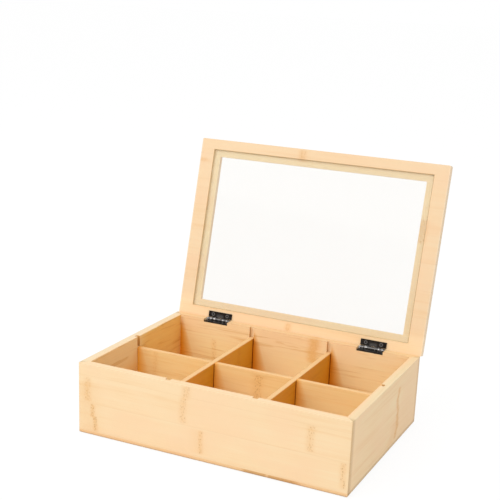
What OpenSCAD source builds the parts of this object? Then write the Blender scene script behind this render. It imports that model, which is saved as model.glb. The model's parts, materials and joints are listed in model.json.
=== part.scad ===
// Tea bag organizer box: a bamboo box with six compartments and a hinged lid with a clear window.
// Millimetres. X runs left to right, Y front to back, Z up from the table. The origin is on the
// table, under the middle of the box. The lid is drawn fully open, which is its rest position.

/* [Box] */
// Outside width of the box
box_width = 300; // [240:1:360]
// Outside depth of the box
box_depth = 208; // [170:1:260]
// Height of the walls, from the table to the rim
wall_height = 78; // [60:1:110]
// Thickness of the wall boards
board_thickness = 9; // [8:0.5:12]
// Radius of the rounded lower outer edges
foot_radius = 3.5; // [1:0.5:4.5]
// Radius of the eased upright corners of the box and the lid
corner_radius = 1.5; // [0.5:0.5:4]

/* [Base panel] */
// Thickness of the base panel
base_thickness = 3; // [2:0.5:5]
// Height of the base panel's underside above the table
base_recess = 5; // [3:0.5:10]
// How far the base panel's edge enters its groove
base_tongue = 3.5; // [2:0.5:4.5]

/* [Dividers] */
// Thickness of each divider board
divider_thickness = 5; // [3:0.5:7]
// Drop from the rim to the top edge of the dividers
divider_drop = 12; // [6:1:30]
// Depth of the upright grooves that hold the dividers' ends
groove_depth = 4; // [2:0.5:5]

/* [Lid] */
// Thickness of the lid panel
lid_thickness = 8; // [7:0.5:14]
// Angle from shut to fully open
lid_angle = 104; // [95:1:110]
// Width of the lid panel beside the window, left and right
side_margin = 24.5; // [20:0.5:40]
// Width of the lid panel beside the window, front and back
end_margin = 19.5; // [18:0.5:35]
// Width of the ledge that the pane lies on
ledge_width = 8; // [4:0.5:9]
// Thickness of the clear pane
pane_thickness = 2; // [1.5:0.5:3]
// How far the pane lies below the lid's underside
pane_recess = 1; // [0.5:0.5:2]

/* [Hinges] */
// Distance from the side of the box to the middle of each hinge
hinge_inset = 55; // [45:1:90]
// Width of a hinge
hinge_width = 30; // [25:1:40]
// Distance from the back wall's outer face out to the hinge pin
pin_setback = 0.8; // [0.6:0.1:2]
// Distance from the pin to the free edge of a leaf
leaf_reach = 9; // [8.5:0.1:9.5]
// Thickness of the leaf plate
leaf_thickness = 1.1; // [0.8:0.1:1.4]
// Diameter of the hinge knuckles
knuckle_diameter = 4; // [3.6:0.1:4.6]
// Diameter of the hinge pin
pin_diameter = 2; // [1.6:0.1:2.2]
// Diameter of the heads at the pin's ends
pin_head_diameter = 3; // [2.6:0.1:3.4]
// Length of each pin head
pin_head_length = 0.8; // [0.4:0.1:1.5]

/* [Screws] */
// Distance from the side edge of a leaf to the middle of its screw
screw_inset = 6; // [5:0.5:8]
// Length of a screw
screw_length = 7; // [5:0.5:7.5]
// Diameter of the screw's shank
screw_diameter = 2; // [1.6:0.1:2.4]
// Diameter of the screw's head
screw_head_diameter = 4; // [3.4:0.1:4.4]
// Length of the screw's pointed tip
screw_tip = 1.5; // [1:0.5:2]

/* [Clearances] */
// Gap between the shut lid and the rim
lid_gap = 0.3; // [0.3:0.1:1]
// Gap around the pane, in its rebate
pane_clearance = 0.3; // [0.2:0.1:1]
// Gap between the edge or the top of the base panel and its groove
base_clearance = 0.3; // [0.2:0.1:0.6]
// Gap between a divider and its groove, on each face and at its end
groove_clearance = 0.3; // [0.3:0.1:0.6]
// Gap between the dividers' lower edge and the base panel
divider_clearance = 0.3; // [0.3:0.1:1]
// Gap on each side of a divider in the slot of the one that it crosses
lap_clearance = 0.1; // [0.1:0.1:0.3]
// Gap between a leaf's plate and the other leaf's knuckles
plate_clearance = 0.4; // [0.2:0.1:1]
// Gap between one knuckle and the next, along the pin
knuckle_gap = 0.3; // [0.2:0.1:0.6]
// Gap between a leaf and the end of its mortise
mortise_clearance = 0.3; // [0.3:0.1:0.6]
// Radial gap between the pin and the knuckles
pin_clearance = 0.05; // [0.02:0.01:0.1]
// Radial gap around a screw
screw_clearance = 0.05; // [0.02:0.01:0.1]

/* [Hidden] */
$fn = 64;

over = 1; // how far a cut runs past the face that it opens
LEFT = -1;
RIGHT = 1;
FIRST = -1;
SECOND = 1;
BOX = -1;
LID = 1;

inner_width = box_width - 2 * board_thickness;
inner_depth = box_depth - 2 * board_thickness;
base_top = base_recess + base_thickness;

divider_bottom = base_top + divider_clearance;
divider_top = wall_height - divider_drop;
divider_middle = (divider_bottom + divider_top) / 2;
divider_groove_width = divider_thickness + 2 * groove_clearance;
lap_width = divider_thickness + 2 * lap_clearance;
divider_tongue = groove_depth - groove_clearance;
cross_x = (inner_width + divider_thickness) / 6; // three equal compartments across

lid_underside = wall_height + lid_gap;
rebate_depth = pane_thickness + pane_recess;
window_width = box_width - 2 * side_margin;
window_depth = box_depth - 2 * end_margin;
rebate_width = window_width + 2 * ledge_width;
rebate_length = window_depth + 2 * ledge_width;

hinge_x = box_width / 2 - hinge_inset;
knuckle_radius = knuckle_diameter / 2;
pin_y = box_depth / 2 + pin_setback;
pin_z = lid_underside - knuckle_radius;
mortise_floor = pin_z - knuckle_radius;
mortise_width = hinge_width + 2 * mortise_clearance;
knuckle_count = 5;
knuckle_span = hinge_width - 2 * pin_head_length; // the pin's heads stay inside the mortise
knuckle_pitch = knuckle_span / knuckle_count;
knuckle_length = knuckle_pitch - knuckle_gap;
plate_start = knuckle_radius + plate_clearance; // from the pin to the near edge of the leaf's plate
screw_x = hinge_width / 2 - screw_inset; // from the middle of the hinge to its screws
screw_y = (plate_start + leaf_reach) / 2; // from the pin to the screws
screw_radius = screw_diameter / 2;
screw_head_radius = screw_head_diameter / 2;
screw_head_depth = screw_head_radius - screw_radius; // a 90 degree countersink
screw_bite = screw_length - leaf_thickness; // length of screw in the wood
driver_slot_width = 0.5;
driver_slot_depth = 0.6;
screw_point_radius = 0.1;

bamboo = "BurlyWood";
bamboo_light = "Wheat";
black_steel = [0.08, 0.08, 0.09];

// ---- shared shapes ----

// Places its children at the pin of the hinge on one side of the box.
module at_hinge(side) {
    translate([side * hinge_x, pin_y, pin_z]) children();
}

// Turns its children, drawn with the lid shut, to where they are with the lid fully open.
module opened() {
    translate([0, pin_y, pin_z]) rotate([-lid_angle, 0, 0]) translate([0, -pin_y, -pin_z]) children();
}

// A rectangle of w by d, centred, with round corners.
module eased_rectangle(w, d) {
    square([w - 2 * corner_radius, d], center = true);
    square([w, d - 2 * corner_radius], center = true);
    for (x = [-1, 1], y = [-1, 1])
        translate([x * (w / 2 - corner_radius), y * (d / 2 - corner_radius)]) circle(corner_radius);
}

// A block of w by d, centred, from z = low to z = high.
module block(w, d, low, high) {
    translate([-w / 2, -d / 2, low]) cube([w, d, high - low]);
}

// ---- walls ----

// Cross-section of a wall board: the outer face is on the left and its lower edge is rounded.
module wall_section() {
    translate([foot_radius, 0]) square([board_thickness - foot_radius, wall_height]);
    translate([0, foot_radius]) square([board_thickness, wall_height - foot_radius]);
    translate([foot_radius, foot_radius]) circle(foot_radius);
}

// Plan of one wall of a box of w by d, seen from above with the outer face at the bottom.
module wall_plan(w, d) {
    intersection() {
        eased_rectangle(w, d);
        translate([0, -d / 2])
            polygon([[-w / 2, 0], [w / 2, 0], [w / 2 - board_thickness, board_thickness],
                     [-w / 2 + board_thickness, board_thickness]]);
    }
}

// A mitred wall at the front of a box of w by d, with upright grooves for dividers at groove_xs.
module wall(w, d, groove_xs) {
    inner_y = -d / 2 + board_thickness;
    base_groove = base_tongue + base_clearance;
    difference() {
        intersection() {
            linear_extrude(wall_height) wall_plan(w, d);
            translate([-w / 2, -d / 2, 0]) rotate([90, 0, 90]) linear_extrude(w) wall_section();
        }
        translate([-w / 2, inner_y - base_groove, base_recess])
            cube([w, base_groove + over, base_thickness + base_clearance]);
        for (x = groove_xs)
            translate([x - divider_groove_width / 2, inner_y - groove_depth, base_top])
                cube([divider_groove_width, groove_depth + over, wall_height - base_top + over]);
    }
}

module front_wall() {
    color(bamboo_light) wall(box_width, box_depth, [-cross_x, cross_x]);
}

module back_wall() {
    color(bamboo_light) difference() {
        rotate([0, 0, 180]) wall(box_width, box_depth, [-cross_x, cross_x]);
        for (side = [LEFT, RIGHT]) {
            hinge_mortise(side);
            screw_holes(side, BOX);
        }
    }
}

module left_wall() {
    color(bamboo) rotate([0, 0, -90]) wall(box_depth, box_width, [0]);
}

module right_wall() {
    color(bamboo) rotate([0, 0, 90]) wall(box_depth, box_width, [0]);
}

// The recess across the back wall's rim that takes a shut hinge.
module hinge_mortise(side) {
    translate([side * hinge_x - mortise_width / 2, box_depth / 2 - board_thickness - over, mortise_floor])
        cube([mortise_width, board_thickness + 2 * over, wall_height - mortise_floor + over]);
}

module bottom_panel() {
    color(bamboo) block(inner_width + 2 * base_tongue, inner_depth + 2 * base_tongue, base_recess, base_top);
}

// ---- divider grid ----

module long_divider() {
    color(bamboo_light) difference() {
        block(inner_width + 2 * divider_tongue, divider_thickness, divider_bottom, divider_top);
        for (x = [-cross_x, cross_x])
            translate([x, 0, 0]) block(lap_width, divider_thickness + 2 * over, divider_middle, divider_top + over);
    }
}

module cross_divider(x) {
    color(bamboo_light) translate([x, 0, 0]) difference() {
        block(divider_thickness, inner_depth + 2 * divider_tongue, divider_bottom, divider_top);
        block(divider_thickness + 2 * over, lap_width, divider_bottom - over, divider_middle);
    }
}

// ---- lid ----

module lid_frame() {
    ledge_z = lid_underside + rebate_depth;
    lid_top = lid_underside + lid_thickness;
    color(bamboo_light) opened() difference() {
        translate([0, 0, lid_underside]) linear_extrude(lid_thickness) eased_rectangle(box_width, box_depth);
        block(window_width, window_depth, ledge_z - over, lid_top + over);
        block(rebate_width, rebate_length, lid_underside - over, ledge_z);
        for (side = [LEFT, RIGHT]) screw_holes(side, LID);
    }
}

module window_pane() {
    low = lid_underside + pane_recess;
    color([0.9, 0.95, 0.95, 0.35]) opened()
        block(rebate_width - 2 * pane_clearance, rebate_length - 2 * pane_clearance, low, low + pane_thickness);
}

// ---- hinges ----

// Places its children at a leaf's two screws, at the leaf's inner face with +Z out of the wood.
module at_screws(side, part) {
    for (place = [FIRST, SECOND]) at_screw(side, part, place) children();
}

module at_screw(side, part, place) {
    at_hinge(side)
        translate([place * screw_x, -screw_y, part * (knuckle_radius - leaf_thickness)])
            rotate([part == LID ? 180 : 0, 0, 0]) children();
}

// The pilot holes for a leaf's screws.
module screw_holes(side, part) {
    at_screws(side, part)
        translate([0, 0, -leaf_thickness - screw_bite])
            cylinder(h = screw_bite + leaf_thickness, r = screw_radius + screw_clearance);
}

// One leaf, with the pin along X at the origin and the plate towards -Y. The box's leaf has its
// outer face down and the outer knuckles, and the lid's leaf has its outer face up and the others.
module hinge_leaf(part) {
    plate_z = part == BOX ? -knuckle_radius : knuckle_radius - leaf_thickness;
    first_knuckle = part == BOX ? 0 : 1;
    difference() {
        union() {
            translate([-hinge_width / 2, -leaf_reach, plate_z])
                cube([hinge_width, leaf_reach - plate_start, leaf_thickness]);
            for (i = [first_knuckle : 2 : knuckle_count - 1])
                translate([i * knuckle_pitch + (knuckle_gap - knuckle_span) / 2, 0, 0]) {
                    translate([0, -plate_start, plate_z]) cube([knuckle_length, plate_start, leaf_thickness]);
                    rotate([0, 90, 0]) cylinder(h = knuckle_length, r = knuckle_radius);
                }
        }
        translate([-hinge_width / 2 - over, 0, 0]) rotate([0, 90, 0])
            cylinder(h = hinge_width + 2 * over, r = pin_diameter / 2 + pin_clearance);
    }
}

// The cut in a leaf for its screws: a through hole and a countersink.
module leaf_screw_cut(side, part) {
    at_screws(side, part) {
        translate([0, 0, -leaf_thickness - over])
            cylinder(h = leaf_thickness + over, r = screw_radius + screw_clearance);
        translate([0, 0, -screw_head_depth])
            cylinder(h = screw_head_depth, r1 = screw_radius + screw_clearance,
                     r2 = screw_head_radius + screw_clearance);
    }
}

module hinge_box_leaf(side) {
    color(black_steel) difference() {
        at_hinge(side) hinge_leaf(BOX);
        leaf_screw_cut(side, BOX);
    }
}

module hinge_lid_leaf(side) {
    color(black_steel) opened() difference() {
        at_hinge(side) hinge_leaf(LID);
        leaf_screw_cut(side, LID);
    }
}

module hinge_pin(side) {
    color(black_steel) at_hinge(side) rotate([0, 90, 0]) {
        translate([0, 0, -knuckle_span / 2]) cylinder(h = knuckle_span, r = pin_diameter / 2);
        for (end = [0, 1]) mirror([0, 0, end])
            translate([0, 0, (knuckle_span - knuckle_gap) / 2])
                cylinder(h = pin_head_length, r = pin_head_diameter / 2);
    }
}

// A countersunk wood screw with a cross slot. Its head's face is at the origin and it points down.
module wood_screw() {
    shank_end = screw_length - screw_tip;
    difference() {
        union() {
            translate([0, 0, -screw_head_depth])
                cylinder(h = screw_head_depth, r1 = screw_radius, r2 = screw_head_radius);
            translate([0, 0, -shank_end]) cylinder(h = shank_end, r = screw_radius);
            translate([0, 0, -screw_length]) cylinder(h = screw_tip, r1 = screw_point_radius, r2 = screw_radius);
        }
        for (turn = [0, 90]) rotate([0, 0, turn])
            block(screw_head_radius, driver_slot_width, -driver_slot_depth, over);
    }
}

module box_screw(side, place) {
    color(black_steel) at_screw(side, BOX, place) wood_screw();
}

module lid_screw(side, place) {
    color(black_steel) opened() at_screw(side, LID, place) wood_screw();
}

front_wall();
back_wall();
left_wall();
right_wall();
bottom_panel();
long_divider();
cross_divider(-cross_x);  // left_cross_divider
cross_divider(cross_x);  // right_cross_divider
lid_frame();
window_pane();
hinge_box_leaf(LEFT);  // left_hinge_box_leaf
hinge_lid_leaf(LEFT);  // left_hinge_lid_leaf
hinge_pin(LEFT);  // left_hinge_pin
box_screw(LEFT, FIRST);  // left_hinge_box_screw_1
box_screw(LEFT, SECOND);  // left_hinge_box_screw_2
lid_screw(LEFT, FIRST);  // left_hinge_lid_screw_1
lid_screw(LEFT, SECOND);  // left_hinge_lid_screw_2
hinge_box_leaf(RIGHT);  // right_hinge_box_leaf
hinge_lid_leaf(RIGHT);  // right_hinge_lid_leaf
hinge_pin(RIGHT);  // right_hinge_pin
box_screw(RIGHT, FIRST);  // right_hinge_box_screw_1
box_screw(RIGHT, SECOND);  // right_hinge_box_screw_2
lid_screw(RIGHT, FIRST);  // right_hinge_lid_screw_1
lid_screw(RIGHT, SECOND);  // right_hinge_lid_screw_2
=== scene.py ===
"""Tea bag organizer box in bamboo: six compartments under a hinged lid with a clear window."""

import json
import math

import bmesh
import bpy
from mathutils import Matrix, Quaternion, Vector


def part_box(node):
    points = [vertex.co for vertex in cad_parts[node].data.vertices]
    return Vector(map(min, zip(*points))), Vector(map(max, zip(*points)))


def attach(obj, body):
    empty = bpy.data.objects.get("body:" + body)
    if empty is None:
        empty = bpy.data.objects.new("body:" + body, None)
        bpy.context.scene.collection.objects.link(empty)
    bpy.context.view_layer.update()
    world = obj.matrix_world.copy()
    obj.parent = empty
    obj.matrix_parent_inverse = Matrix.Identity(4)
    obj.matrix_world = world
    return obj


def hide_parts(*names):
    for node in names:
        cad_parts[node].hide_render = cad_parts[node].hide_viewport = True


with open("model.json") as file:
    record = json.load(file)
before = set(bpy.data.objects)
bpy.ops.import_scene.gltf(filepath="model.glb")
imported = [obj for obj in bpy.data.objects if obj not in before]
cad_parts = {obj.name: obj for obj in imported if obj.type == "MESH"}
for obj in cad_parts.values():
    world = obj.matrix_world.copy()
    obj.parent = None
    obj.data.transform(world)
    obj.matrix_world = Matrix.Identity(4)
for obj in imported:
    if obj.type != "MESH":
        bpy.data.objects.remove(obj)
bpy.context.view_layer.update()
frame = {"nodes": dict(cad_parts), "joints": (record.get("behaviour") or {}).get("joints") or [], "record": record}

MM = 0.001
RIGHT = Vector((1, 0, 0))
BACK = Vector((0, 1, 0))
UP = Vector((0, 0, 1))

LID_JOINT = next(joint for joint in frame["joints"] if joint["name"] == "lid_hinge")
LID_TILT = LID_JOINT["range_deg"][1] - 90  # how far the open lid leans back from upright
LID_UP = Vector((0, math.sin(math.radians(LID_TILT)), math.cos(math.radians(LID_TILT))))
LID_OUT = Vector((0, math.cos(math.radians(LID_TILT)), -math.sin(math.radians(LID_TILT))))
PIN = Vector(LID_JOINT["pos_m"])

BODIES = frame["record"]["behaviour"]["bodies"]
BODY_OF = {node: body for body, nodes in BODIES.items() for node in nodes}


# ---- camera, light and table ----

IMAGE_SIZE = 500
SENSOR_WIDTH = 36.0
FOCAL_LENGTH = 77.7
AIM = Vector((1.932, 0, 132.265)) * MM
AIM_IN_IMAGE = (257.8, 310.4)
CAMERA_DISTANCE = 1119.636 * MM
CAMERA_AZIMUTH = math.radians(24.489)
CAMERA_ELEVATION = math.radians(17.236)
CAMERA_ROLL = math.radians(2.529)

ROOM_LIGHT = 0.80
TABLE_REACH = 12.0
KEY_SOFTBOX = {"position": (-0.80, -1.68, 1.70), "width": 2.2, "height": 2.2, "power": 26}
SIDE_CARD = {"position": (2.2, -0.9, 0.35), "width": 1.6, "height": 0.5, "power": 2.5}
LIGHTS_TARGET = Vector((0, 0, 0.05))


def add_camera():
    towards_camera = Vector((math.sin(CAMERA_AZIMUTH) * math.cos(CAMERA_ELEVATION),
                             -math.cos(CAMERA_AZIMUTH) * math.cos(CAMERA_ELEVATION),
                             math.sin(CAMERA_ELEVATION)))
    data = bpy.data.cameras.new("camera")
    data.sensor_width = SENSOR_WIDTH
    data.lens = FOCAL_LENGTH
    data.shift_x = (IMAGE_SIZE / 2 - AIM_IN_IMAGE[0]) / IMAGE_SIZE
    data.shift_y = (AIM_IN_IMAGE[1] - IMAGE_SIZE / 2) / IMAGE_SIZE
    camera = bpy.data.objects.new("camera", data)
    camera.location = AIM + towards_camera * CAMERA_DISTANCE
    camera.rotation_mode = "QUATERNION"
    level = (-towards_camera).to_track_quat("-Z", "Y")
    camera.rotation_quaternion = level @ Quaternion(UP, CAMERA_ROLL)
    bpy.context.scene.collection.objects.link(camera)
    bpy.context.scene.camera = camera


def add_softbox(name, position, width, height, power):
    data = bpy.data.lights.new(name, "AREA")
    data.shape = "RECTANGLE"
    data.size, data.size_y = width, height
    data.energy = power
    lamp = bpy.data.objects.new(name, data)
    lamp.location = position
    lamp.rotation_mode = "QUATERNION"
    lamp.rotation_quaternion = (LIGHTS_TARGET - Vector(position)).to_track_quat("-Z", "Y")
    bpy.context.scene.collection.objects.link(lamp)


# ---- materials ----


class Shade:
    """An output socket in a material's nodes, with arithmetic on its value."""

    def __init__(self, tree, socket=None):
        self.tree = tree
        self.socket = socket

    def node(self, kind, settings=(), inputs=(), output=0):
        """Adds a node, makes its settings, then fills its inputs, and gives one of its outputs."""
        made = self.tree.nodes.new(kind)
        for name, value in dict(settings).items():
            if name == "stops":
                self.set_stops(made.color_ramp, value)
            else:
                setattr(made, name, value)
        for name, value in dict(inputs).items():
            if isinstance(value, Shade):
                self.tree.links.new(value.socket, made.inputs[name])
            else:
                made.inputs[name].default_value = value
        return Shade(self.tree, made.outputs[output])

    @staticmethod
    def set_stops(ramp, stops):
        while len(ramp.elements) < len(stops):
            ramp.elements.new(1)
        for element, (position, colour) in zip(ramp.elements, stops):
            element.position = position
            element.color = (*colour, 1)

    def maths(self, operation, *values):
        return self.node("ShaderNodeMath", {"operation": operation}, enumerate(values))

    def __add__(self, other):
        return self.maths("ADD", self, other)

    def __sub__(self, other):
        return self.maths("SUBTRACT", self, other)

    def __rsub__(self, other):
        return self.maths("SUBTRACT", other, self)

    def __mul__(self, other):
        return self.maths("MULTIPLY", self, other)

    def __truediv__(self, other):
        return self.maths("DIVIDE", self, other)

    __radd__ = __add__
    __rmul__ = __mul__

    def whole(self):
        """The whole number at or below the value."""
        return self.maths("FLOOR", self)

    def size(self):
        """The value without its sign."""
        return self.maths("ABSOLUTE", self)

    def least(self, other):
        return self.maths("MINIMUM", self, other)

    def most(self, other):
        return self.maths("MAXIMUM", self, other)

    def step(self, start, end):
        """0 up to start and 1 from end on, with a smooth rise between. start may be above end."""
        limits = {"From Min": start, "From Max": end} if start < end else {
            "From Min": end, "From Max": start, "To Min": 1.0, "To Max": 0.0}
        settings = {"interpolation_type": "SMOOTHSTEP"}
        return self.node("ShaderNodeMapRange", settings, {"Value": self, **limits})

    def dot(self, direction):
        settings = {"operation": "DOT_PRODUCT"}
        return self.node("ShaderNodeVectorMath", settings, {0: self, 1: direction}, "Value")

    def length(self):
        return self.node("ShaderNodeVectorMath", {"operation": "LENGTH"}, {0: self}, "Value")

    def scaled(self, factor):
        return self.node("ShaderNodeVectorMath", {"operation": "SCALE"}, {0: self, "Scale": factor})

    def vector(self, x, y, z):
        return self.node("ShaderNodeCombineXYZ", (), {"X": x, "Y": y, "Z": z})

    def noise(self, detail=2.0, roughness=0.5, distortion=0.0):
        inputs = {"Vector": self, "Scale": 1.0, "Detail": detail, "Roughness": roughness,
                  "Distortion": distortion}
        return self.node("ShaderNodeTexNoise", {"noise_dimensions": "3D"}, inputs, "Fac")

    def cells(self, randomness=1.0):
        """Distance to the nearest of the points scattered one to a cell of size 1."""
        return self.node("ShaderNodeTexVoronoi", {"voronoi_dimensions": "3D"},
                         {"Vector": self, "Scale": 1.0, "Randomness": randomness}, "Distance")

    def random(self, seed):
        return self.node("ShaderNodeTexWhiteNoise", {"noise_dimensions": "2D"},
                         {"Vector": self.vector(self, seed, 0)}, "Value")

    def ramp(self, *stops):
        return self.node("ShaderNodeValToRGB", {"stops": stops}, {"Fac": self}, "Color")

    def mixed(self, colour, amount, blend="MIX"):
        """This colour mixed with another one by amount."""
        settings = {"data_type": "RGBA", "blend_type": blend}
        return self.node("ShaderNodeMix", settings, {0: amount, 6: self, 7: (*colour, 1)}, 2)


def new_material(name):
    """An empty material, its Principled shader and a Shade to start its nodes from."""
    material = bpy.data.materials.new(name)
    material.use_nodes = True
    tree = material.node_tree
    shader = next(node for node in tree.nodes if node.type == "BSDF_PRINCIPLED")
    return material, shader, Shade(tree)


def millimetres(nodes):
    """Where a point is in the part's own frame, in millimetres."""
    return nodes.node("ShaderNodeTexCoord", (), (), "Object").scaled(1 / MM)


def bumped(nodes, strength, distance, height):
    inputs = {"Strength": strength, "Distance": distance * MM, "Height": height}
    return nodes.node("ShaderNodeBump", (), inputs)


def seen_directly(nodes):
    """1 for the camera's rays and for what a reflection or a clear sheet shows, or else 0."""
    camera, glossy, clear = (nodes.node("ShaderNodeLightPath", (), (), f"Is {kind} Ray")
                             for kind in ("Camera", "Glossy", "Transmission"))
    return camera.most(glossy).most(clear)


def plug(shader, **inputs):
    """Sets the shader's sockets: Base_Color=... is the one called Base Color."""
    for name, value in inputs.items():
        socket = shader.inputs[name.replace("_", " ")]
        if isinstance(value, Shade):
            value.tree.links.new(value.socket, socket)
        else:
            socket.default_value = value


STRIP_WIDTH = 30.0  # millimetres, as is every length in the materials
PATTERN_SHIFT = 53.7  # how much further along its noise each strip starts than the last

BAMBOO_DEEP = (0.89, 0.59, 0.295)
BAMBOO_MIDDLE = (0.96, 0.71, 0.43)
BAMBOO_PALE = (0.965, 0.76, 0.49)
BLUSH = (0.97, 0.685, 0.42)
SAP_BROWN = (0.78, 0.47, 0.20)
NODE_AMBER = (0.86, 0.50, 0.20)
NODE_BROWN = (0.46, 0.215, 0.07)
SEAM_BROWN = (0.62, 0.36, 0.14)
ACRYLIC = (0.84, 0.80, 0.70)
# the brown of the painted shade round the pane's rim, in its rebate
PANE_RIM_SHADE = (0.50, 0.31, 0.12)
BLACK_PLATING = (0.010, 0.007, 0.005)
# the bright metal of the hinges' wear and of their painted glints and reflection
WORN_AND_GLINTING_STEEL = (1.0, 0.97, 0.95)

# Tints, which multiply the bamboo's colour. Most of them are painted light and shade.
# warm painted shade on the inner faces and on the dividers' faces
HONEY = (1.0, 0.94, 0.52)
DARK_HONEY = (0.80, 0.48, 0.13)
SIENNA = (1.0, 0.85, 0.74)
BURNT_HONEY = (1.0, 0.87, 0.66)
# the painted shadows that the dividers cast on the back wall and the long divider
HONEY_SHADOW = (0.76, 0.46, 0.08)
AMBER_SHADOW = (1.05, 0.77, 0.20)
ORANGE_SHADOW = (0.97, 0.64, 0.14)
PALE_HONEY = (1.0, 0.88, 0.68)
# painted shade in the grooves, and painted light that lifts their floors
GROOVE = (0.66, 0.54, 0.40)
GROOVE_FLOOR = (1.04, 1.10, 1.16)
# painted shade beside the dividers' ends
GAP = (0.42, 0.20, 0.04)
# painted shade on the walls' feet, and on the side walls' corners
FOOT_SHADE = (0.93, 0.80, 0.67)
FOOT_EDGE_SHADE = (0.88, 0.83, 0.78)
SIDE_WALL_SHADE = (0.78, 0.74, 0.66)
SHADED_RIM = (0.94, 0.86, 0.74)
PALER_OUTER_RIM = (0.955, 1.02, 1.07)
# painted light, which lifts the lower inner faces
LOWER_FACE_LIGHT = (1.03, 1.10, 1.03)
FOOT_BROWN = (0.76, 0.66, 0.52)
# painted to offset the cool light that falls on the right wall
OLIVE = (1.0, 0.985, 0.935)
GOLDEN = (0.89, 0.92, 0.42)
# painted light on the lid's end faces and ledge, painted shade on its upper rails
LID_END = (1.0, 1.05, 1.12)
UPPER_RAIL = (0.93, 0.92, 0.94)
LEDGE = (1.03, 1.13, 1.09)
LOWER_LEDGE = (0.94, 0.93, 0.97)


def bamboo(name, along, across, start, seed, marks=(), sway=1.4, streaks=1.0, sap=0.0,
           sap_depth=999.0, tints=()):
    """Laminated bamboo: strips that lie side by side from start, each with its own tone, streaks
    and fibres along the grain, and the brown marks where the cane had its joints. A mark is
    (place along, low side, high side, half width, stain, dots), and sway bends it. The brown
    veins of sap have the strength sap, and end where z is sap_depth. A tint is (colour, mask),
    where mask(x, y, z) says from 0 to 1 how much of the colour is multiplied in: x is along the
    grain, y across the strips and z through them, in millimetres."""
    material, shader, nodes = new_material(name)
    through = along.cross(across)
    place = millimetres(nodes)
    x, y, z = place.dot(along), place.dot(across), place.dot(through)

    strip = ((y - start) / STRIP_WIDTH).whole()
    tone = strip.random(seed)
    shifted = y + strip * PATTERN_SHIFT
    streak = nodes.vector(x / 170, shifted / 6, z / 14 + seed).noise(3.0, 0.55, 0.4)
    line = nodes.vector(x / 90, shifted / 1.9, z / 4 + seed).noise(3.0, 0.6, 0.2)
    fibre = nodes.vector(x / 16, shifted / 0.45, z / 0.45 + seed).noise(2.0, 0.6)
    cloud = nodes.vector(x / 60, shifted / 38, z / 38 + seed).noise(2.0)
    drift = nodes.vector(x / 75 + 31, y / 50, z / 50 + seed).noise(2.0)

    shade = (0.56 + (tone - 0.5) * 0.22 + (streak - 0.5) * (0.75 * streaks)
             + (line - 0.5) * (0.42 * streaks) + (cloud - 0.5) * 0.50 + (fibre - 0.5) * 0.24)
    colour = shade.ramp((0.0, BAMBOO_DEEP), (0.5, BAMBOO_MIDDLE), (1.0, BAMBOO_PALE))
    colour = colour.mixed(BLUSH, drift.step(0.42, 0.66) * 0.7)
    if sap:
        vein = nodes.vector(x / 70 + 9, shifted / 3.4, z / 30 + seed).noise(3.0, 0.6, 0.5)
        region = nodes.vector(x / 55, shifted / 17, seed + 5).noise(1.0)
        inside = z.size().step(sap_depth + 2.0, sap_depth + 1.0)
        brown = vein.step(0.50, 0.66) * region.step(0.40, 0.56) * inside * sap
        colour = colour.mixed(SAP_BROWN, brown)

    joint = (y - start) / STRIP_WIDTH - strip
    seam = (joint - 0.5).size().step(0.488, 0.5)
    colour = colour.mixed(SEAM_BROWN, seam * 0.13)

    knot = 0.0
    if marks:
        wander = (nodes.vector(0, y / 14, seed).noise(1.0) - 0.5) * sway
        mottle = nodes.vector(x / 1.8, y / 3, z / 3 + seed).noise(2.5, 0.65)
        dots = nodes.vector(x / 1.7, y / 2.5, z / 9 + seed).cells(0.9).step(0.46, 0.16)
        halo = 0.0
        for centre, low, high, spread, stain, speckle in marks:
            away = (x - centre + wander * spread).size()
            within = y.step(low - 0.5, low + 2.5) * y.step(high + 0.5, high - 2.5)
            halo = away.step(spread * 2.3, 0.0) * within * stain + halo
            knot = away.step(spread * 1.2, spread * 0.7) * within * speckle + knot
        colour = colour.mixed(NODE_AMBER, (halo * (0.10 + mottle * 0.85)).least(0.85))
        knot = knot * (dots * 0.70 + mottle.step(0.54, 0.66) * 0.30)
        colour = colour.mixed(NODE_BROWN, (knot * 0.68).least(0.8))

    for tint, mask in tints:
        colour = colour.mixed(tint, mask(x, y, z), "MULTIPLY")

    relief = fibre * 0.5 + line * 0.5 - seam * 1.6 - knot * 0.8
    plug(shader, Base_Color=colour, Roughness=0.42 + (fibre - 0.5) * 0.16 + (streak - 0.5) * 0.10,
         Normal=bumped(nodes, 0.35, 0.12, relief), Specular_IOR_Level=0.18)
    return material


def clear_acrylic():
    """A clear sheet with a faint haze, and painted shade on the rim that sits in its rebate."""
    material, shader, nodes = new_material("clear_acrylic")
    place = millimetres(nodes)
    across, up, out = place.dot(RIGHT).size(), place.dot(LID_UP), place.dot(LID_OUT)
    side = reach_along("window_pane", RIGHT)[1]
    bottom, top = reach_along("window_pane", LID_UP)
    face = reach_along("window_pane", LID_OUT)[0]
    rim_line = across.step(side - 0.9, side - 0.5).most(
        up.step(bottom + 0.9, bottom + 0.5)).most(up.step(top - 0.9, top - 0.5))
    # painted shade: the pane's outermost rim is browner and less clear, for the shadow in its rebate
    rim_shade = rim_line * out.step(face + 0.7, face + 0.3)
    edge_on = nodes.node("ShaderNodeLayerWeight", (), {"Blend": 0.25}, "Facing")
    haze = place.scaled(0.014).noise(2.0)
    opacity = (0.10 + edge_on * 0.18 + (haze - 0.5) * 0.03).most(rim_shade * 0.42)
    plug(shader, Base_Color=rim_shade.ramp((0.0, ACRYLIC), (1.0, PANE_RIM_SHADE)), Alpha=opacity,
         Roughness=0.05 + (haze - 0.5) * 0.02, Specular_IOR_Level=0.5)
    return material


def reach_along(node, direction):
    """Where a CAD node starts and ends along a direction, in millimetres."""
    places = [vertex.co.dot(direction) / MM for vertex in frame["nodes"][node].data.vertices]
    return min(places), max(places)


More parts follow.
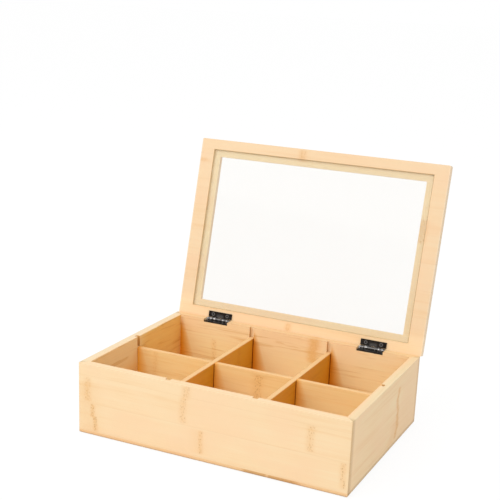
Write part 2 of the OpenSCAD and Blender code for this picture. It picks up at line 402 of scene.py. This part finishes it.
HINGE_X = abs(sum(corner.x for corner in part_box("left_hinge_pin"))) / 2 / MM
KNUCKLE_RADIUS = 2.0
SCREW_X = 9.0  # from the hinge's middle
SCREW_REACH = 5.7  # from the pin


def black_steel():
    """Black plated steel, with painted glints on the knuckles, partly over wear, and round the screws."""
    material, shader, nodes = new_material("black_steel")
    place = millimetres(nodes)
    x, y, z = place.dot(RIGHT), place.dot(BACK), place.dot(UP)
    cast = place.scaled(0.8).noise(3.0)
    scuff = place.scaled(1.7).noise(4.0, 0.7)

    from_pin = nodes.vector(0, y - PIN.y / MM, z - PIN.z / MM).length()
    barrel = from_pin.step(KNUCKLE_RADIUS + 0.5, KNUCKLE_RADIUS + 0.1)
    patch = nodes.vector(x / 2.6, y / 6, z / 6).noise(2.0)
    # the knuckles: brighter metal, partly wear and partly painted glints
    knuckle_wear_and_glints = barrel * (0.30 + patch.step(0.50, 0.64) * 0.70)

    # On the lid's leaf: a painted glint round each screw, and a painted reflection between the two.
    past_screw = (x.size() - HINGE_X).size() - SCREW_X
    up_lid = place.dot(LID_UP) - PIN.dot(LID_UP) / MM
    from_screw = nodes.vector(past_screw, up_lid - SCREW_REACH, 0).length()
    painted_reflection = past_screw.step(-2.5, -6.5) * up_lid.step(8.0, 4.0) * (1 - barrel)
    screw_glint = from_screw.step(0.9, 1.4) * from_screw.step(2.3, 1.7) * (1 - barrel)

    glints_and_wear = (knuckle_wear_and_glints * 0.34).most(screw_glint * 0.12).most(painted_reflection * 0.055)
    shine = glints_and_wear.most(scuff.step(0.60, 0.75) * 0.16).most(cast.step(0.35, 0.7) * 0.02)
    plug(shader, Base_Color=shine.ramp((0.0, BLACK_PLATING), (1.0, WORN_AND_GLINTING_STEEL)), Metallic=1.0,
         Roughness=0.30 + (cast - 0.5) * 0.2, Normal=bumped(nodes, 0.4, 0.05, cast + scuff * 0.3))
    return material


def table_top():
    """A white table that keeps a faint shadow of the object and blends into the background."""
    material, shader, nodes = new_material("table_top")
    plug(shader, Base_Color=(0.70, 0.70, 0.70, 1), Roughness=0.9, Specular_IOR_Level=0.0)
    seen = seen_directly(nodes)
    white = nodes.node("ShaderNodeEmission", (), {"Color": (1, 1, 1, 1), "Strength": 0.90})
    faint = nodes.node("ShaderNodeBsdfDiffuse", (), {"Color": (0.12, 0.12, 0.12, 1)})
    lit = nodes.node("ShaderNodeAddShader", (), {0: white, 1: faint})
    plain = Shade(nodes.tree, shader.outputs[0])
    both = nodes.node("ShaderNodeMixShader", (), {0: seen, 1: plain, 2: lit})
    output = next(node for node in nodes.tree.nodes if node.type == "OUTPUT_MATERIAL")
    nodes.tree.links.new(both.socket, output.inputs["Surface"])
    return material


def light_room():
    """White to look at, with a plainer level of light on the object."""
    world = bpy.data.worlds.new("room")
    world.use_nodes = True
    bpy.context.scene.world = world
    nodes = Shade(world.node_tree)
    seen = seen_directly(nodes)
    background = next(node for node in world.node_tree.nodes if node.type == "BACKGROUND")
    background.inputs["Color"].default_value = (1, 1, 1, 1)
    strength = seen * (1 - ROOM_LIGHT) + ROOM_LIGHT
    world.node_tree.links.new(strength.socket, background.inputs["Strength"])


def add_table():
    mesh = bpy.data.meshes.new("table")
    turns = ((-1, -1), (1, -1), (1, 1), (-1, 1))
    corners = [(x * TABLE_REACH, y * TABLE_REACH, 0) for x, y in turns]
    mesh.from_pydata(corners, [], [(0, 1, 2, 3)])
    table = bpy.data.objects.new("table", mesh)
    mesh.materials.append(table_top())
    bpy.context.scene.collection.objects.link(table)


# ---- boards ----

SHARP = math.radians(35)  # two faces that turn more than this meet at an edge that stays sharp
BLENDED = math.radians(50)  # or this, where both belong to rounded edges
ROUNDED = 1  # the material index that marks the rounded edges' faces while a piece is made
JOIN_DISTANCE = 0.001 * MM
SLIVER = 0.002 * MM
FLAT = math.radians(0.3)


def eased(node, width, chosen, material, segments=3):
    """Shows a CAD node as a copy with the chosen convex edges rounded over. chosen(a, b) gives the
    share of width that the edge from a to b gets, from 0 to 1, with a and b in millimetres."""
    solid = bmesh.new()
    solid.from_mesh(frame["nodes"][node].data)
    bmesh.ops.remove_doubles(solid, verts=solid.verts, dist=JOIN_DISTANCE)
    bmesh.ops.dissolve_limit(solid, angle_limit=FLAT, verts=solid.verts, edges=solid.edges)
    weight = solid.edges.layers.float.new("bevel_weight_edge")
    for edge in solid.edges:
        turn = edge.calc_face_angle_signed() if edge.is_manifold else math.pi
        if turn > SHARP:
            edge[weight] = chosen(*(vertex.co / MM for vertex in edge.verts))
    mesh = bpy.data.meshes.new(node + "_piece")
    solid.to_mesh(mesh)
    solid.free()
    piece = bpy.data.objects.new(node + "_piece", mesh)
    bpy.context.scene.collection.objects.link(piece)
    bevel = piece.modifiers.new("ease", "BEVEL")
    bevel.limit_method = "WEIGHT"
    bevel.width = width * MM
    bevel.segments = segments
    mesh.materials.append(material)
    mesh.materials.append(material)
    bevel.material = ROUNDED
    bpy.context.view_layer.update()
    rounded = piece.evaluated_get(bpy.context.evaluated_depsgraph_get())
    final = bpy.data.meshes.new_from_object(rounded)
    piece.modifiers.clear()
    piece.data = final
    merge_doubles(final)
    set_normals(final)
    for face in final.polygons:
        face.material_index = 0
    final.materials.clear()
    final.materials.append(material)
    dress(piece, node)
    return piece


def merge_doubles(mesh):
    """Takes out the slivers that easing leaves where a curved edge's points lie close together."""
    solid = bmesh.new()
    solid.from_mesh(mesh)
    bmesh.ops.remove_doubles(solid, verts=solid.verts, dist=SLIVER)
    solid.to_mesh(mesh)
    solid.free()


def set_normals(mesh):
    """Keeps flat faces flat up to their rims, and lets the rounded edges blend from one to the
    next."""
    around = [[] for _ in mesh.vertices]
    for face in mesh.polygons:
        for vertex in face.vertices:
            around[vertex].append(face)
    normals = []
    for face in mesh.polygons:
        for vertex in face.vertices:
            normals.append(corner_normal(face, around[vertex]))
    mesh.shade_smooth()
    mesh.normals_split_custom_set(normals)


def corner_normal(face, neighbours):
    """The normal of one corner of a face, from the faces that meet there without a sharp edge:
    the flat ones, or where there are none, the rounded edges' own."""
    def blends(other):
        both_rounded = face.material_index == other.material_index == ROUNDED
        return face.normal.angle(other.normal, 0) < (BLENDED if both_rounded else SHARP)

    near = [other for other in neighbours if blends(other)]
    flat = [other for other in near if other.material_index != ROUNDED]
    total = sum((other.normal * other.area for other in flat or near), Vector())
    return total.normalized() if total.length else face.normal.copy()


def dress(piece, node):
    """Puts a piece in a CAD node's place, on its body."""
    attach(piece, BODY_OF[node])
    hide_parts(node)


def finish_node(node, material):
    """Gives a CAD node its finish and leaves its shape."""
    data = frame["nodes"][node].data
    data.materials.clear()
    data.materials.append(material)


# The front wall ends halfway round the box's rounded corners, so half_width is 0.44 mm short of
# the side walls' outer faces, and what is measured from it on a side wall is short by as much.
half_width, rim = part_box("front_wall")[1].x / MM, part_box("front_wall")[1].z / MM
half_depth = -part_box("front_wall")[0].y / MM
board = 9.0  # the walls' thickness
divider_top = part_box("long_divider")[1].z / MM
divider_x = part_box("right_cross_divider")[1].x / MM
divider_thickness = divider_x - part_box("right_cross_divider")[0].x / MM
hinge_edge = PIN.dot(LID_UP) / MM

TOLERANCE = 0.02
FOOT_HEIGHT = 12.0
OUTER_STRIP = 1.5  # how far in from a wall's outer face its rim's outer edge may lie

WALL_EASE = 1.3
DIVIDER_EASE = 0.5
LID_EASE = 0.8
PANE_EASE = 0.25
LEAF_EASE = 0.18
PANE_LIFT = 0.08


def wall_edges(a, b):
    """The share of the ease at a wall's edge: none down at the foot, the most where hands take
    hold, along the outside of the rim, and half elsewhere, the mitres' edges among them."""
    if max(a.z, b.z) < FOOT_HEIGHT:
        return 0.0
    on_rim = min(a.z, b.z) > rim - TOLERANCE
    return 1.0 if on_rim and is_outside(a) and is_outside(b) else 0.5


def is_outside(point):
    return max(abs(point.x) - half_width, abs(point.y) - half_depth) > -OUTER_STRIP


def all_edges(a, b):
    return 1.0


# ---- tints: each gives a colour and the mask that says where it goes ----


def facing_in(z, reach):
    """1 on a wall's inner face, at reach from the middle of the box, and in its grooves."""
    return z.size().step(reach + 4.6, reach + 4.2)


def inner_face(reach, amount, more_from=None):
    """A wall's inner face below the rim. more_from is where along it the tint comes in fully."""
    def mask(x, y, z):
        honey = y.step(14, 62) * amount
        if more_from:
            honey = (x.step(*more_from) * (1 - amount) + honey).least(1.0)
        # painted shade: the inner faces warmed, for the light that bounces round inside the box
        return facing_in(z, reach) * y.step(rim - 0.2, rim - 1.0) * honey
    return HONEY, mask


def lower_face_fill(low, high, reach=0.0):
    """The lower part of an inner face, lightened with painted light that lifts its shade."""
    def mask(x, y, z):
        inner = z.size().step(reach + 1.0, reach + 0.5) if reach else 1.0
        return y.step(high, low) * inner
    return LOWER_FACE_LIGHT, mask


def grooves(reach):
    """Painted shade in the upright grooves in a wall, down to 4 mm below its inner face, and about
    a fifth as strong on a side wall's inner face itself."""
    def mask(x, y, z):
        depth = z.size() - reach
        return depth.step(0.2, 1.0) * depth.step(3.9, 3.3) * y.step(rim - 0.2, rim - 1.2)
    return GROOVE, mask


def groove_floors(reach):
    def mask(x, y, z):
        # painted light on the groove floors, which lifts their shade
        depth = z.size() - reach
        return depth.step(3.5, 3.9) * depth.step(4.5, 4.1)
    return GROOVE_FLOOR, mask


def top_edge():
    """The top of the back wall, in painted shade where the lid's edge keeps the light from it."""
    def mask(x, y, z):
        return y.step(rim - 0.7, rim - 0.2)
    return SHADED_RIM, mask


def corner_shadows(colour, reach, starts, high, low):
    """Painted shadow on the wood to the right of the boards that stand against it, cast by them,
    and further out the lower down. The starts are where along it those boards' right faces are,
    and the colour sets in between the heights high and low."""
    def mask(x, y, z):
        near = 0.0
        spread = (rim - y) * 0.34 + 2.0
        for start in starts:
            near = (1 - (x - start) / spread).most(0.0) * x.step(start - 0.5, start) + near
        return near * y.step(high, low) * z.size().step(reach + 2.0, reach + 1.0)
    return colour, mask


def foot(low, high, colour):
    """The strip along a board's lower edge, full at low and gone at high: painted shade on the foot."""
    def mask(x, y, z):
        return y.step(high, low)
    return colour, mask


def browner_foot_stretch():
    """A stretch of the front's foot, browner than the rest of it."""
    def mask(x, y, z):
        patchy = x.step(37, 44) * x.step(106, 92) * (1 - x.step(64, 66) * x.step(69, 67) * 0.6)
        return y.step(5.0, 3.9) * y.step(0.4, 1.4) * patchy
    return FOOT_BROWN, mask


def pale_rim(reach):
    """The rim of a side wall, paler and cooler towards its outer edge."""
    def mask(x, y, z):
        return y.step(rim - 1.2, rim - 0.5) * z.size().step(reach + 1.0, reach + 5.0)
    return PALER_OUTER_RIM, mask


def olive():
    """The whole right wall, a little greener than the rest, painted to offset the cool light on that side."""
    def mask(x, y, z):
        return 1.0
    return OLIVE, mask


def corners(reach):
    """The corners at the two ends of a side wall, darkened with painted shade."""
    def mask(x, y, z):
        return x.size().step(reach - 9.0, reach - 2.5)
    return SIDE_WALL_SHADE, mask


def far_end(reach):
    """The inner face of the left wall towards the back."""
    def mask(x, y, z):
        return facing_in(z, reach) * x.step(-6, 26) * y.step(rim - 0.2, rim - 3)
    return SIENNA, mask


def near_end(reach):
    """The lower strip of the left wall's inner face towards the front."""
    def mask(x, y, z):
        return facing_in(z, reach) * x.step(4, -6) * y.step(56, 44) * 0.8
    return BURNT_HONEY, mask


def below_top(amount):
    """A divider but for its top edge, warmed with painted shade."""
    def mask(x, y, z):
        return y.step(divider_top - 0.2, divider_top - 1.2) * y.step(14, 58) * amount
    return HONEY, mask


def right_face(z, middle):
    """1 on the right face of the cross divider that has its middle there."""
    return z.step(middle + 1.2, middle + 2.2)


def shaded_side(middle):
    """The side of a cross divider that is turned from the window, warm with the light of the wood
    around it."""
    def mask(x, y, z):
        return y.step(divider_top - 0.2, divider_top - 1.2) * right_face(z, middle)
    return DARK_HONEY, mask


def golden_ends(middle):
    """The shaded side's colour towards the back of each compartment."""
    def mask(x, y, z):
        towards_back = x.step(-70, -4) * x.step(-1, -2) + x.step(4, 70)
        return towards_back * y.step(divider_top - 0.5, divider_top - 2.0) * right_face(z, middle)
    return GOLDEN, mask


def divider_edge():
    """A divider's top edge, in a tone of its own."""
    def mask(x, y, z):
        return y.step(divider_top - 1.2, divider_top - 0.2)
    return PALE_HONEY, mask


def tight_corners(*places):
    """Painted shade on a divider, beside what it meets."""
    def mask(x, y, z):
        near = 0.0
        for place, reach in places:
            near = (x.size() - place).size().step(reach, reach * 0.35) + near
        return near.least(1.0) * y.step(divider_top - 0.5, divider_top - 2.0)
    return GAP, mask


def pane_ledge(colour, height=999.0):
    """The rebate and its ledge, cut into the lid's inner face, up to height above the pane's
    foot."""
    inner = -reach_along("lid_frame", LID_OUT)[0]
    bottom, top = reach_along("window_pane", LID_UP)

    def mask(x, y, z):
        depth = inner - z
        sunk = depth.step(0.7, 1.3) * depth.step(4.2, 3.6)
        between = y.step(bottom - 4, bottom - 2) * y.step(top + 4, top + 2)
        low = y.step(bottom + height + 1, bottom + height)
        return sunk * x.size().step(half_width - 6, half_width - 10) * between * low
    return colour, mask


def lid_ends():
    """The lid's two end faces, lightened with painted light."""
    def mask(x, y, z):
        return x.size().step(half_width - 1.2, half_width - 0.4)
    return LID_END, mask


def upper_rails():
    """The lid but for its hinge rail, darkened a little with painted shade."""
    def mask(x, y, z):
        return y.step(hinge_edge + 12, hinge_edge + 32)
    return UPPER_RAIL, mask


# ---- the joints of the cane, as bamboo() takes them ----

FRONT_MARKS = (
    (-138.3, 37, 65, 3.2, 0.6, 0.4),
    (-132.6, 20, 36, 2.2, 0.8, 0.9),
    (-129.8, 5, 23, 2.2, 0.8, 1.0),
    (-138, 4, 60, 11.0, 0.45, 0),
    (-24.5, 62, 78, 3.6, 0.7, 0.7),
    (-26.5, 37, 65, 3.2, 0.6, 0.6),
    (-6.5, 8, 35, 2.0, 0.6, 0.9),
    (-9, 8, 35, 6.0, 0.3, 0),
    (110, 37.5, 66, 3.2, 0.65, 0.6),
    (144, 8, 36, 2.5, 0.7, 0.9),
)
BACK_MARKS = (
    (29, 49, 79, 5.0, 1.7, 0.2),
    (-96, 26, 56, 2.6, 0.6, 0.6),
    (118, 8, 26, 2.6, 0.6, 0.6),
)
LEFT_MARKS = (
    (14, 36, 66, 3.0, 0.9, 0.4),
    (-62, 6, 36, 2.6, 0.5, 0.5),
)
RIGHT_MARKS = (
    (36.5, 8, 66, 3.0, 1.5, 0.5),
    (28, 4, 30, 9.0, 0.6, 0),
)
BASE_MARKS = (
    (60, 0, 30, 2.6, 0.6, 0.6),
)
LONG_DIVIDER_MARKS = (
    (7, 35, 63, 5.0, 0.7, 0.8),
    (-118, 36, 66, 2.6, 0.4, 0.3),
)
LEFT_DIVIDER_MARKS = (
    (58, 36, 66, 3.0, 0.5, 0.3),
)
RIGHT_DIVIDER_MARKS = (
    (-70, 36, 66, 3.0, 0.5, 0.3),
)
LID_MARKS = (  # with their sides measured up from the lid's hinge edge
    (-8, 1, 11.5, 3.0, 1.1, 0.3),
    (-22, 193, 208, 3.6, 0.9, 0.5),
    (128.5, 121, 149, 4.6, 1.0, 0.8),
    (-147, 181, 187, 6.0, 0.9, 0.1),
)


# ---- the pieces ----


def build_walls():
    across, deep = half_depth - board, half_width - board
    beside_boards = (-deep, divider_thickness - divider_x, divider_x)
    # painted shade along the walls' feet and the side walls' corners
    feet = (foot(3.8, 6.0, FOOT_SHADE), foot(1.0, 3.0, FOOT_EDGE_SHADE))
    side_wall = (foot(4.6, 6.4, SIDE_WALL_SHADE), foot(2.2, 3.4, SIDE_WALL_SHADE), corners(half_depth), pale_rim(deep))
    walls = {
        "front_wall": bamboo(
            "bamboo_front", RIGHT, UP, 6, 1.3, FRONT_MARKS, streaks=1.15, tints=(
                inner_face(across, 0.3), grooves(across), groove_floors(across), *feet,
                browner_foot_stretch())),
        "back_wall": bamboo(
            "bamboo_back", RIGHT, UP, 26, 2.6, BACK_MARKS, streaks=1.2, sap=0.62, sap_depth=across,
            tints=(
                inner_face(across, 0.14), grooves(across), groove_floors(across), top_edge(),
                lower_face_fill(36, 77, across),
                corner_shadows(HONEY_SHADOW, across, beside_boards, rim - 0.5, rim - 14.0),
                corner_shadows(AMBER_SHADOW, across, beside_boards, rim - 10.0, rim - 22.0), *feet)),
        "left_wall": bamboo(
            "bamboo_left", BACK, UP, 6, 4.1, LEFT_MARKS, streaks=1.2, sap=0.7, sap_depth=deep,
            tints=(
                inner_face(deep, 0.35, (-10, 20)), far_end(deep), near_end(deep), grooves(deep),
                *side_wall)),
        "right_wall": bamboo(
            "bamboo_right", BACK, UP, 6, 5.7, RIGHT_MARKS, sway=6, streaks=1.7, tints=(
                inner_face(deep, 0.3), grooves(deep), olive(), *side_wall)),
    }
    for node, material in walls.items():
        eased(node, WALL_EASE, wall_edges, material, segments=4)
    finish_node("bottom_panel", bamboo("bamboo_base", RIGHT, BACK, 0, 7.9, BASE_MARKS))


def build_dividers():
    half_thickness = divider_thickness / 2
    middle = divider_x - half_thickness
    beside_boards = (board - half_width, divider_thickness - divider_x, divider_x)
    ends = (divider_edge(), tight_corners((half_depth - board, 2.8), (half_thickness, 1.8)))
    dividers = {
        "long_divider": bamboo(
            "bamboo_long_divider", RIGHT, UP, 6, 9.4, LONG_DIVIDER_MARKS, streaks=1.2, sap=0.35,
            tints=(
                below_top(0.5), lower_face_fill(22, 58), divider_edge(),
                corner_shadows(ORANGE_SHADOW, 3, beside_boards, rim - 0.5, rim - 14.0))),
        "left_cross_divider": bamboo(
            "bamboo_left_cross", BACK, UP, 6, 11.2, LEFT_DIVIDER_MARKS, streaks=1.2, sap=0.3,
            tints=(below_top(0.4), shaded_side(-middle), golden_ends(-middle), *ends)),
        "right_cross_divider": bamboo(
            "bamboo_right_cross", BACK, UP, 6, 12.8, RIGHT_DIVIDER_MARKS, streaks=1.2, sap=0.3,
            tints=(below_top(0.4), shaded_side(middle), golden_ends(middle), *ends)),
    }
    for node, material in dividers.items():
        eased(node, DIVIDER_EASE, all_edges, material)


def build_lid():
    marks = [(place, low + hinge_edge, high + hinge_edge, *rest)
             for place, low, high, *rest in LID_MARKS]
    # painted light lifts the ledge round the pane, less over its lowest 6 mm, and the lid's end faces; painted
    # shade darkens its upper rails
    grain = bamboo("bamboo_lid", RIGHT, LID_UP, hinge_edge + 11.5, 15.1, marks, streaks=1.1, tints=(
        pane_ledge(LEDGE), pane_ledge(LOWER_LEDGE, 6), upper_rails(), lid_ends()))
    eased("lid_frame", LID_EASE, all_edges, grain)
    build_pane()


def build_pane():
    """The pane, its back a hair off the ledge so that the two don't share a surface."""
    pane = eased("window_pane", PANE_EASE, all_edges, clear_acrylic(), segments=2)
    depths = [vertex.co.dot(LID_OUT) for vertex in pane.data.vertices]
    front, back = min(depths), max(depths)
    for vertex, depth in zip(pane.data.vertices, depths):
        vertex.co -= LID_OUT * (PANE_LIFT * MM * (depth - front) / (back - front))


def build_hinges():
    steel = black_steel()
    for side in ("left", "right"):
        for part in ("box_leaf", "lid_leaf"):
            eased(f"{side}_hinge_{part}", LEAF_EASE, all_edges, steel, segments=2)
        for part in ("pin", "box_screw_1", "box_screw_2", "lid_screw_1", "lid_screw_2"):
            finish_node(f"{side}_hinge_{part}", steel)


add_camera()
light_room()
add_softbox("key_softbox", **KEY_SOFTBOX)
add_softbox("side_card", **SIDE_CARD)
add_table()
build_walls()
build_dividers()
build_lid()
build_hinges()

bpy.context.scene.view_settings.view_transform = "Standard"
